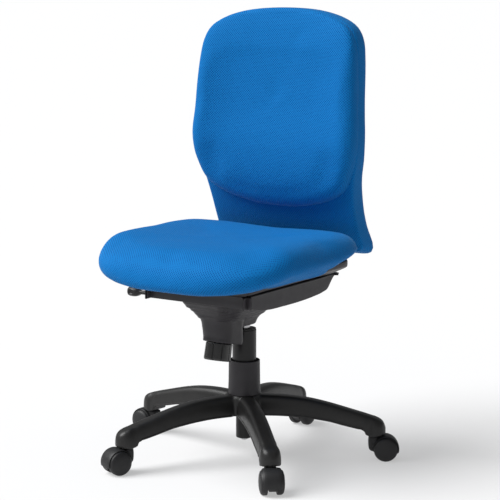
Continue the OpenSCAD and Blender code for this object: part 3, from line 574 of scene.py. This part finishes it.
def seat_cushion():
    outline = even_loop(mirrored_loop(SEAT_OUTLINE), 120)
    at_front = ease(-outline[:, 1], 165, 285)
    at_rear = ease(outline[:, 1], 95, 150)
    corner_lift = 7 * ease(np.abs(outline[:, 0]), 60, 190) * at_front
    beside = (1 - at_front) * (1 - at_rear) * ease(np.abs(outline[:, 0]), 120, 205)
    side_lift = cushion_lift(outline[:, 1]) * beside
    rings = []
    for inset, side, front, rear in SEAT_PROFILE:
        loop = drawn_in(outline, inset, SEAT_MIDDLE)
        height = side + (front - side) * at_front + (rear - side) * at_rear
        if front < 425:
            height = height + corner_lift
        # the lift works on the lower edge and fades out over the underside
        height = height + side_lift * np.clip((436 - side) / 9, 0, 1) * np.clip((64 - inset) / 34, 0, 1)
        dish = 9 * np.exp(-(loop[:, 0] / 120) ** 2 - ((loop[:, 1] - 10) / 120) ** 2)
        height = height - dish * ease(height, 440, 466)
        rings.append(np.column_stack([loop, height]) * MM)
    shape = skin(rings)
    piece = new_piece("seat_upholstery", *shape, "seat_fabric", "seat", ["seat_cushion"])
    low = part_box("seat_cushion")[0].z
    padded_shape(piece, 0.006, lambda p: p[2] < low + 0.003)


# ---------------------------------------------------------------- back

BACK_OUTLINE = [  # right half of the front view, from the bottom middle to the top middle, mm
    (0, 414), (70, 414), (140, 414), (168, 415.5), (179.5, 424), (180, 446), (179, 480), (179.5, 512),
    (182, 540), (186, 566), (191.5, 592), (198, 620), (201.5, 650), (202, 680), (199.5, 712),
    (197.5, 742),
    (195, 790), (191.5, 835), (188, 862), (179, 884), (163, 901), (136, 914), (106, 922.5),
    (75, 928), (40, 931), (0, 932),
]
PAD_OUTLINE = [
    (0, 513), (48, 515), (92, 523), (130, 535), (158, 550), (177, 569), (189, 595), (197.5, 620),
    (202, 650), (202.5, 675), (200, 710), (198, 740), (195, 790), (191.5, 832), (187.5, 859),
    (178.5, 882), (162.5, 899), (135, 912.5), (105, 921), (74, 926.5), (40, 929.5), (0, 930.5),
]
back_rear = smooth_curve([(414, 229), (430, 227), (475, 203), (545, 177), (590, 161), (640, 153),
                          (740, 157), (840, 167), (900, 169), (932, 166)])
back_face = smooth_curve([(414, 189), (470, 158), (545, 129), (600, 116), (640, 112), (740, 118),
                          (840, 129.5), (900, 134), (932, 138)])
pad_rim = smooth_curve([(512, 114), (545, 101), (590, 90), (640, 84), (740, 91), (840, 103),
                        (900, 112), (932, 122)])
BACK_MIDDLE = np.array((0.0, 690.0))


def bow(x, z):
    """How far the back's middle stands behind its sides: it wraps round the sitter above the waist."""
    return 19 * (1 - (np.asarray(x) / 198) ** 2) * ease(z, 545, 740)


def back_cover():
    """Upholstered body of the back: rear, sides and the recessed panel below the pad."""
    outline = even_loop(mirrored_loop(BACK_OUTLINE), 180)
    top = ease(outline[:, 1], 850, 925)
    low = ease(-outline[:, 1], -440, -418)
    rings = []
    # inset at the sides, extra inset over the top, extra inset round the hem, share of the way to the rear
    for inset, over, hem, depth in (
            (150, 0, 0, 0), (90, 0, 0, 0), (50, 0, 0, 0), (24, 0, 0, 0), (9, 0, 2, 0.005),
            (3.5, 0.5, 6, 0.03), (1.0, 0.5, 8, 0.08), (0.2, 0.2, 7, 0.2), (0, 0, 4, 0.45),
            (0, 0, 1, 0.62), (0.2, 0, 0, 0.76), (1.2, 0.8, 0.6, 0.87), (3.6, 3, 3, 0.95),
            (8, 7, 7, 0.99), (16, 6, 6, 1.0), (32, 0, 0, 1.0), (60, 0, 0, 1.0), (90, 0, 0, 1.0),
            (120, 0, 0, 1.0), (145, 0, 0, 1.0), (168, 0, 0, 1.0), (188, 0, 0, 1.0), (206, 0, 0, 1.0),
            (224, 0, 0, 1.0), (242, 0, 0, 1.0), (262, 0, 0, 1.0)):
        loop = drawn_in(outline, (inset + over * top + hem * low)[:, None], BACK_MIDDLE)
        z = loop[:, 1]
        y = back_face(z) + (back_rear(z) + bow(loop[:, 0], z) - back_face(z)) * depth
        rings.append(np.column_stack([loop[:, 0], y, z]) * MM)
    new_piece("back_upholstery", *skin(rings), "back_fabric", "back", ["back_cover"])


def back_pad():
    """Raised front pad: flush with the sides above, a soft roll round its edge, a dished middle."""
    outline = even_loop(mirrored_loop(PAD_OUTLINE), 180)
    top = ease(outline[:, 1], 840, 915)
    rings = []
    # inset at the sides, extra inset over the top, share of the way out to the rim (negative inside the
    # cover), share of the dish
    for inset, over, share, dish in (
            (120, 0, -0.5, 0), (40, 0, -0.5, 0), (10, 0, -0.5, 0), (2.5, 0, -0.48, 0),
            (0.4, 0, -0.4, 0), (0, 0, -0.2, 0), (0, 0, 0.1, 0), (0, 0, 0.32, 0), (0.8, 0.5, 0.50, 0),
            (2.6, 2, 0.67, 0), (5.6, 4, 0.81, 0), (9.8, 7, 0.915, 0), (15, 9, 0.975, 0),
            (21, 11, 1.0, 0.06), (29, 12, 1.0, 0.25), (40, 11, 1.0, 0.52), (55, 8, 1.0, 0.76),
            (75, 4, 1.0, 0.90), (100, 0, 1.0, 1.0), (130, 0, 1.0, 1.0), (165, 0, 1.0, 1.0),
            (195, 0, 1.0, 1.0)):
        loop = drawn_in(outline, (inset + over * top)[:, None], BACK_MIDDLE + np.array((0, 30)))
        z = loop[:, 1]
        face = back_face(z) - 0.5
        upper = ease(z, 770, 880)
        hollow = np.maximum(dish, upper * np.clip(share, 0, 1))
        y = face + (pad_rim(z) - face) * share + bow(loop[:, 0], z) * hollow + 4 * dish * (1 - upper)
        rings.append(np.column_stack([loop[:, 0], y, z]) * MM)
    piece = new_piece("back_pad_upholstery", *skin(rings), "back_fabric", "back", ["back_pad"])

    def held(p):
        return p[1] > back_face(p[2] / MM) * MM - 0.004
    padded_shape(piece, 0.003, held)


def board(name, node, body, ease_point):
    """A plywood board from its CAD solid, its outer points eased so that the upholstery covers them."""
    mesh = frame["nodes"][node].data.copy()
    for vertex in mesh.vertices:
        ease_point(vertex.co)
    piece = bpy.data.objects.new(name, mesh)
    scene.collection.objects.link(piece)
    dress(piece, "plywood", body, [node])


def lower_top_corners(point):
    above = point.z / MM - 840
    if above > 0:
        point.z -= 0.25 * above * MM
        point.x *= 1 - 0.0012 * above


def draw_front_in(point):
    ahead = -point.y / MM - 170
    if ahead > 0:
        point.y += 0.85 * ahead * MM


# ---------------------------------------------------------------- star base

STAR_TURN, STAR_STEP, SOCKET_R = 242.7, 72, 276
KNUCKLE_D, KNUCKLE_R = 275, 21.4
arm_crown = smooth_curve([(20, 134), (46, 134), (97, 132), (133, 128), (185, 117), (205, 111.6),
                          (225, 106), (240, 101.8), (262, 95.5), (277, 90.5), (286, 86), (292, 80),
                          (296, 71)])
arm_under = smooth_curve([(20, 91), (98, 91), (145, 87), (185, 81), (205, 76), (238, 68.5),
                          (250, 65.7), (253.5, 62.6), (255.5, 57), (258, 55.5), (297, 55.4)])


def arm_half_width(d):
    """Half width of an arm: a slow taper, then the round knuckle that holds the caster's stem."""
    waist = 20.5 - 1.2 * (d - 20) / 220
    bulge = math.sqrt(max(KNUCKLE_R ** 2 - (d - KNUCKLE_D) ** 2, 4.0))
    if d > KNUCKLE_D:
        return bulge
    return waist + max(bulge - waist, 0) + 0.6 * float(ease(d, 236, 262))


def arm_section(d):
    """Cross-section at distance d: crowned top, upright sides, and a channel under the long stretch."""
    half, low, high = arm_half_width(d), float(arm_under(d)), float(arm_crown(d))
    hollow = float(ease(d, 56, 74) * (1 - ease(d, 226, 244)))
    top = []
    for i in range(25):
        a = math.pi * i / 24
        x, z = math.cos(a), math.sin(a)
        top.append((half * math.copysign(abs(x) ** (2 / 4.2), x), low + (high - low) * z ** (2 / 2.9)))
    floor_hw = 10 * hollow
    roof = low + (high - low - 6) * 0.86 * hollow
    channel = [(-floor_hw - 1, low), (-floor_hw, roof), (-floor_hw * 0.4, roof + 2 * hollow),
               (floor_hw * 0.4, roof + 2 * hollow), (floor_hw, roof), (floor_hw + 1, low)]
    return [(d, x, z) for x, z in top + channel]


def arm_bead(side):
    """The narrow lip along an arm's lower edge."""
    rings = []
    for d in np.linspace(40, 252, 40):
        x = side * (arm_half_width(d) - 0.2)
        low = float(arm_under(d))
        ring = [(d, x + 1.1 * math.cos(a), low + 2.4 + 2.2 * math.sin(a))
                for a in np.arange(10) * 2 * math.pi / 10]
        rings.append(ring)
    return skin(rings)


def star_base():
    stations = np.concatenate([np.linspace(22, 240, 45), np.linspace(243, 274, 22),
                               KNUCKLE_D + KNUCKLE_R * np.sin(np.linspace(0.03, 1.54, 18))])
    arm = skin([arm_section(float(d)) for d in stations])
    socket = moved(revolve([(0, 55.4), (14.5, 55.4), (15.2, 56.4), (15.2, 66), (0, 66)], 40),
                   Matrix.Translation((SOCKET_R, 0, 0)))
    hub = revolve([(0, 90), (31, 90), (33, 91), (37.5, 93), (38.5, 96), (39.5, 110), (39, 126), (37, 132),
                   (34.5, 134.6), (0, 134.6)], 72)
    shapes, beads = [hub], []
    for i in range(5):
        turn = Matrix.Rotation(math.radians(STAR_TURN + i * STAR_STEP), 4, "Z")
        shapes += [moved(arm, turn), moved(socket, turn)]
        beads += [moved(arm_bead(1), turn), moved(arm_bead(-1), turn)]
    scale = Matrix.Scale(MM, 4)
    fused("star_moulding", moved(add(*shapes), scale), 0.0021, 5, "base_plastic", "base", ["star_base"])
    new_piece("star_lips", *moved(add(*beads), scale), "base_plastic", "base")
    # the ring moulded round the column's foot, under the hub
    collar = ring_body([(17.8, 86), (21, 86), (22, 87), (22, 92), (17.8, 92)], 48)
    new_piece("hub_collar", *moved(collar, scale), "base_plastic", "base")


# ---------------------------------------------------------------- casters

CASTER_TURN = (246, 310, 34, 88, 172)
TRAIL, AXLE_Z = 20, 25


def caster_place(i):
    a = math.radians(STAR_TURN + i * STAR_STEP)
    return (Matrix.Scale(MM, 4) @ Matrix.Translation((SOCKET_R * math.cos(a), SOCKET_R * math.sin(a), 0))
            @ Matrix.Rotation(math.radians(CASTER_TURN[i]), 4, "Z"))


def hood_shape():
    """Barrel-shaped hood over both wheels, its front block and the web between the wheels."""
    profile = [(-18.4, 25.9), (-18.6, 26.5), (-18.0, 27.2), (-16, 27.9), (-12, 28.5), (-5, 28.8),
               (5, 28.8), (12, 28.5), (16, 27.9), (18.0, 27.2), (18.6, 26.5), (18.4, 25.9),
               (9, 25.9), (8.6, 20.5), (-8.6, 20.5), (-9, 25.9)]
    rings = []
    for a in np.radians(np.linspace(-15, 168, 48)):
        rings.append([(TRAIL + r * math.cos(a), u, AXLE_Z + r * math.sin(a)) for u, r in profile])
    web = [(-6, 20), (0, 12.2), (43.5, 12.2), (46.5, 16), (48.4, 22), (48.6, 28), (44, 40), (30, 51), (0, 48)]
    block = []
    for z, front, half in [(18.5, -6, 6), (19.6, -10, 8.4), (22, -13, 10.4), (26, -14.8, 11.6),
                           (33, -15.5, 12.2), (42, -15.6, 12.3), (47, -15.2, 12), (50, -14.4, 11.4),
                           (51.2, -13.2, 10.4)]:
        block.append([(v, u, z) for v, u in rounded_box(front, 9, half, 6)])
    return add(skin(rings), prism(web, -8.6, 8.6, "y"), skin(block))


def rounded_box(v0, v1, half, r):
    r = min(r, half - 0.5, (v1 - v0) / 2 - 0.3)
    points = []
    for cv, cu, start in ((v1 - r, half - r, 0), (v0 + r, half - r, 90), (v0 + r, r - half, 180),
                          (v1 - r, r - half, 270)):
        points += arc((cv, cu), r, start, start + 90, 6)
    return points


def wheel_shape():
    """Half of a twin wheel along +Z from its inner face: tread, a fine groove and a domed cover disc."""
    return revolve([(3.1, 0), (22.6, 0), (24.2, 0.5), (24.9, 1.4), (25, 2.5), (25, 8.2), (24.75, 9.2),
                    (24.35, 10.1), (23.9, 10.5), (23.8, 11.0), (23.3, 11.9), (22.2, 12.9), (20, 13.9),
                    (17, 14.8), (13.5, 15.5), (10, 15.9), (5, 16.1), (1.2, 16.15)], 80)


def casters():
    hood = fused("hood_master", moved(hood_shape(), Matrix.Scale(MM, 4)), 0.0008, 3, "caster_plastic",
                 "base")
    wheel = wheel_shape()
    for i in range(5):
        n = i + 1
        place = caster_place(i)
        mesh = hood.data.copy()
        mesh.transform(place @ Matrix.Scale(1000, 4))
        piece = bpy.data.objects.new(f"caster_housing_{n}", mesh)
        scene.collection.objects.link(piece)
        dress(piece, "caster_plastic", f"caster_{n}", [f"caster_hood_{n}"])
        for side, node in ((1, "left"), (-1, "right")):
            turn = Matrix.Rotation(math.radians(-90 * side), 4, "X")
            spot = place @ Matrix.Translation((TRAIL, 9.3 * side, AXLE_Z)) @ turn
            new_piece(f"{node}_wheel_disc_{n}", *moved(wheel, spot), "caster_plastic",
                      f"{node}_roller_{n}", [f"wheel_{node}_{n}"])
    bpy.data.objects.remove(hood)


# ---------------------------------------------------------------- mechanism cover, knob and lever

def cut(piece, shape):
    """Takes a closed shape, in millimetres, out of a piece."""
    mesh = bpy.data.meshes.new("cutter")
    vertices, faces = shape
    mesh.from_pydata([tuple(Vector(v) * MM) for v in vertices], [], faces)
    tidy_normals(mesh)
    cutter = bpy.data.objects.new("cutter", mesh)
    scene.collection.objects.link(cutter)
    modify(piece, "BOOLEAN", operation="DIFFERENCE", object=cutter, solver="EXACT")
    apply_modifiers(piece)
    bpy.data.objects.remove(cutter)


KNOB_AXIS = Matrix.Translation((0, -92, 257)) @ Matrix.Rotation(math.radians(-12), 4, "X")


def cover_funnel():
    """Outside of the funnel: a round-cornered mouth square to the knob's axis, a waist, a stepped flare."""
    rings = []
    mouth = rounded_plan(33, -25.5, 50.5, 20)
    for height, grow in ((1.0, -0.6), (2.0, 0.0), (10, 0.3)):
        rings.append([tuple(KNOB_AXIS @ Vector((u * (1 + grow / 33), v * (1 + grow / 38), height)))
                      for u, v in mouth])
    # level, half width, front, rear, corner: the sides flare in four steps, the front in one sweep
    levels = [(283, 34.6, -119.5, -39, 26), (301, 36, -123, -36, 28), (309, 36.8, -125.5, -35, 27)]
    for z, hx, front, corner in ((313, 40.5, -128, 25), (321, 44, -132.5, 22), (329, 47.5, -139, 19),
                                 (337, 51, -148, 16)):
        levels += [(z - 2.6, hx, front + 1.5, -34, corner), (z + 3.2, hx + 0.5, front - 3, -33, corner - 1)]
    levels += [(345.5, 51.5, -157, -32, 14), (356, 52, -160.5, -32, 13)]
    for z, hx, front, rear, corner in levels:
        rings.append([(x, y, z) for x, y in rounded_plan(hx, front, rear, corner)])
    return skin(rings)


def rounded_plan(hx, front, rear, corner):
    points = []
    for cx, cy, start in ((hx - corner, rear - corner, 0), (corner - hx, rear - corner, 90),
                          (corner - hx, front + corner, 180), (hx - corner, front + corner, 270)):
        points += arc((cx, cy), corner, start, start + 90, 9)
    return points


def cover_bowl():
    """Outside of the bowl round the column, with shallow steps up its sides."""
    rings = []
    for z, hx, front, rear, corner in ((282.6, 20, -26, 20, 19), (283.4, 22.6, -44, 22.6, 21),
                                       (286, 24, -70, 24, 22), (291, 25.5, -90, 26, 24),
                                       (296, 28, -100, 29, 26), (300, 31, -106, 32, 28),
                                       (304, 35, -110, 36, 30), (306, 39, -114, 39, 31),
                                       (311, 42, -118, 43, 32), (313, 47, -121, 46, 32),
                                       (318, 50, -124, 49, 32), (320, 55, -126, 52, 32),
                                       (326, 58, -129, 55, 32), (328, 62.5, -131, 57.5, 30),
                                       (335, 66, -134, 60, 30), (345.5, 70.5, -138, 61.5, 28),
                                       (356, 71, -139, 62, 28)):
        rings.append([(x, y, z) for x, y in rounded_plan(hx, front, rear, corner)])
    return skin(rings)


def under_cover():
    """Thin moulding under the seat: bowl and funnel in one, open above and behind."""
    shape = moved(add(cover_funnel(), cover_bowl()), Matrix.Scale(MM, 4))
    piece = fused("mechanism_cover", shape, 0.0014, 5, "dark_plastic", "lift", ["under_cover"])
    cut(piece, prism([(-190, 351), (-75, 351), (-25, 346), (90, 346), (90, 400), (-190, 400)], -95, 95, "x"))
    faces = [p for p in piece.data.polygons if p.center.z > 0.3453 and p.normal.z > 0.98]
    shell = bmesh.new()
    shell.from_mesh(piece.data)
    shell.faces.ensure_lookup_table()
    bmesh.ops.delete(shell, geom=[shell.faces[p.index] for p in faces], context="FACES")
    shell.to_mesh(piece.data)
    shell.free()
    modify(piece, "SOLIDIFY", thickness=0.0024, offset=-1, use_quality_normals=True)
    apply_modifiers(piece)
    cut(piece, revolve([(0, 278), (13.2, 278), (13.2, 300), (0, 300)], 48))
    cut(piece, moved(revolve([(0, -6), (24.5, -6), (24.5, 8), (0, 8)], 48), KNOB_AXIS))
    cut(piece, box_shape((-90, -84, 325), (-50, -56, 356)))
    cut(piece, box_shape((-58, 40, 315), (58, 80, 356)))
    piece.data.shade_smooth()


def tension_knob():
    """Gloss knob with nine broad lobes, fine ribs over them and a rolled foot."""
    steps = 432
    a = np.arange(steps) * 2 * math.pi / steps
    groove = np.exp(-((np.mod(a * 9 / (2 * math.pi) + 0.5, 1) - 0.5) / 0.045) ** 2)
    ribs = 0.5 - 0.5 * np.cos(a * 108)
    rings = []
    for height, radius, depth in ((0.5, 8, 0), (0.5, 24.8, 0), (0, 26.2, 0.3), (-0.8, 27.0, 0.7),
                                  (-2, 27.15, 1), (-16, 27.5, 1), (-31, 27.9, 1), (-33.6, 27.9, 0.8),
                                  (-35.2, 27.2, 0.4), (-36, 25.8, 0.1), (-36, 21.0, 0), (-35.4, 20.2, 0),
                                  (-33.6, 19.8, 0), (-33, 18.6, 0), (-33, 2, 0)):
        r = radius - depth * (1.7 * groove + 0.28 * ribs)
        rings.append(np.stack([r * np.cos(a), r * np.sin(a), np.full(steps, height)], 1))
    shape = moved(moved(skin(rings), KNOB_AXIS), Matrix.Scale(MM, 4))
    new_piece("tension_handwheel", *shape, "knob_plastic", "knob", ["tension_knob"])


def lever_handle():
    """Paddle at the end of the height lever, with a hollow for the fingertips at its front."""
    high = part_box("lever_grip")[1]
    inner = high.x / MM + 38  # the sleeve reaches in over the rod
    y, z = -70, 337
    rings = []
    for x, half_y, half_z in ((-248, 3.5, 3.5), (-247, 7.5, 6.8), (-244.5, 10.4, 8.9), (-240, 12.2, 10.1),
                              (-232, 12.8, 10.4), (-226, 12.2, 9.8), (-221, 10.4, 8.2), (-217.5, 8, 5.8),
                              (-214, 7, 4.6), (-208, 6.6, 4.2), (inner, 6.6, 4.2)):
        ring = []
        for a in np.arange(28) * 2 * math.pi / 28:
            c, d = math.cos(a), math.sin(a)
            ring.append((x, y + half_y * math.copysign(abs(c) ** 0.75, c),
                         z + half_z * math.copysign(abs(d) ** 0.75, d)))
        rings.append(ring)
    piece = new_piece("lever_paddle", *moved(skin(rings), Matrix.Scale(MM, 4)), "lever_plastic", "lever_bar",
                      ["lever_grip"])
    hollow = [[(-244 + 19 * t, y - 15.5 + 6.5 * math.sin(math.pi * t) ** 0.5 * math.cos(a),
                z + 0.2 + 6.8 * math.sin(math.pi * t) ** 0.5 * math.sin(a))
               for a in np.arange(24) * 2 * math.pi / 24] for t in np.linspace(0.03, 0.97, 14)]
    cut(piece, skin(hollow))
    piece.data.shade_smooth()


# ---------------------------------------------------------------- seat tray and pan

CARRIER_HW, CARRIER_FRONT, CARRIER_REAR, CARRIER_TOP = 120, -167, 164, 377
carrier_low = smooth_curve([(-167, 350), (-148, 348), (-122, 342.5), (-92, 338.5), (-40, 337), (30, 337),
                            (85, 339.5), (118, 343), (137, 348.5), (149, 361), (158, 369.5), (164, 373)])


def seat_tray():
    """Carrier under the seat: thin rounded walls, a bead round the top and a slot for the lever."""
    plan = even_loop(rounded_plan(CARRIER_HW, CARRIER_FRONT, CARRIER_REAR, 7), 360)
    bead = 1 - ease(plan[:, 1], 105, 145)
    slot = (np.exp(-((plan[:, 1] + 70) / 12.5) ** 8) * (plan[:, 0] < -100))
    foot = carrier_low(plan[:, 1]) + 26 * slot
    rings = []
    # inset, share of the way from the foot to the underside of the bead, height above that
    for inset, share, above in ((118, 1, 2.2), (60, 1, 2.2), (4, 1, 2.0), (3.1, 1, 0.5), (2.9, 0.9, 0),
                                (2.7, 0.3, 0), (2.5, 0.04, 0), (2.1, 0, 0), (0.9, 0, 0), (0.3, 0.02, 0),
                                (0, 0.06, 0), (0, 0.5, 0), (0, 0.96, 0), (-0.2, 0.995, 0), (-1.5, 1, 0.1),
                                (-2, 1, 0.6), (-2, 1, 2.2), (-1.5, 1, 2.9), (0.5, 1, 3.1), (2.2, 1, 3.4),
                                (2.6, 1, 4.4), (118, 1, 4.5)):
        loop = inset_box(plan, inset if inset > 0 else (inset * bead)[:, None])
        z = foot + (CARRIER_TOP - 4.5 - foot) * share + above
        rings.append(np.column_stack([loop, z]) * MM)
    new_piece("seat_tray", *skin(rings), "dark_plastic", "seat", ["seat_carrier"])
    lugs = []
    for side in (-1, 1):
        x0, x1 = side * 56, side * 60
        lugs.append(prism([(-162, 375), (-160, 354), (-154, 350.5), (-146, 350.5), (-140, 354),
                           (-134, 375)], x0, x1, "x"))
        lugs.append(prism([(104, 375), (124, 347), (130, 343.5), (150, 343.5), (154, 347),
                           (160, 375)], x0, x1, "x"))
    shape = moved(add(*lugs), Matrix.Scale(MM, 4))
    lug = new_piece("tray_lugs", *shape, "dark_plastic", "seat", smooth=False)
    modify(lug, "BEVEL", width=0.0006, segments=2, limit_method="ANGLE")
    apply_modifiers(lug)


def inset_box(plan, inset):
    """The carrier's plan drawn in by the same distance on all sides, corners kept round."""
    half = np.array((CARRIER_HW, (CARRIER_REAR - CARRIER_FRONT) / 2))
    middle = np.array((0, (CARRIER_REAR + CARRIER_FRONT) / 2))
    return middle + (plan - middle) * np.maximum(half - inset, 0.5) / half


def seat_pan():
    """Moulded pan under the cushion: flat over the carrier, then rising to its rim on every side."""
    half = [(0, 148), (80, 148), (138, 147), (160, 141), (172, 129), (177, 112), (178, 80), (178, 0),
            (178, -90), (176, -130), (168, -170), (150, -204), (122, -230), (88, -243), (45, -248.5),
            (0, -250)]
    outline = even_loop(mirrored_loop(half), 160)
    rings = []
    for inset, rim, lift in ((150, 0, 4), (80, 0, 4), (50, 0, 4), (30, 0, 4), (14, 0, 4), (5, 0, 4.2),
                             (4, 0.2, 4), (3.8, 1, 0), (2.5, 1, 0.8), (0.8, 1, 0.2), (0, 1, -1.5),
                             (0, 0.3, 0), (0.8, 0.05, 0), (2.5, 0, 0), (8, 0, 0), (14, 0, 0), (30, 0, 0),
                             (50, 0, 0), (80, 0, 0), (150, 0, 0)):
        loop = drawn_in(outline, inset, np.array((0.0, -50.0)))
        under = pan_under(loop)
        rings.append(np.column_stack([loop, under + (414 - under) * rim + lift]) * MM)
    new_piece("seat_pan", *skin(rings), "dark_plastic", "seat", ["seat_shell"])


def pan_under(loop):
    """Height of the pan's underside: flat in the middle, sloping up beside it and at the front."""
    x, y = np.abs(loop[:, 0]), loop[:, 1]
    side = 25.6 * np.clip((x - 120) / 58, 0, 1)
    front = 24 * ease(-y, 172, 245)
    return 377.4 + np.maximum(side, front)


# ---------------------------------------------------------------- CAD nodes that stay

def finish_nodes():
    """Every CAD node takes its slot's material."""
    slots = {part["node"]: part["material_slot"] for part in frame["record"]["subparts"]}
    for name, piece in frame["nodes"].items():
        material = MATERIALS[slots[name]]
        if not piece.data.materials:
            piece.data.materials.append(material)
        for i in range(len(piece.data.materials)):
            piece.data.materials[i] = material
            if i < len(piece.material_slots):
                piece.material_slots[i].material = material


add_camera()
add_studio()
add_floor()
seat_cushion()
back_cover()
back_pad()
board("back_plywood", "back_panel", "back", lower_top_corners)
board("seat_plywood", "seat_board", "seat", draw_front_in)
star_base()
casters()
under_cover()
tension_knob()
lever_handle()
seat_tray()
seat_pan()
finish_nodes()
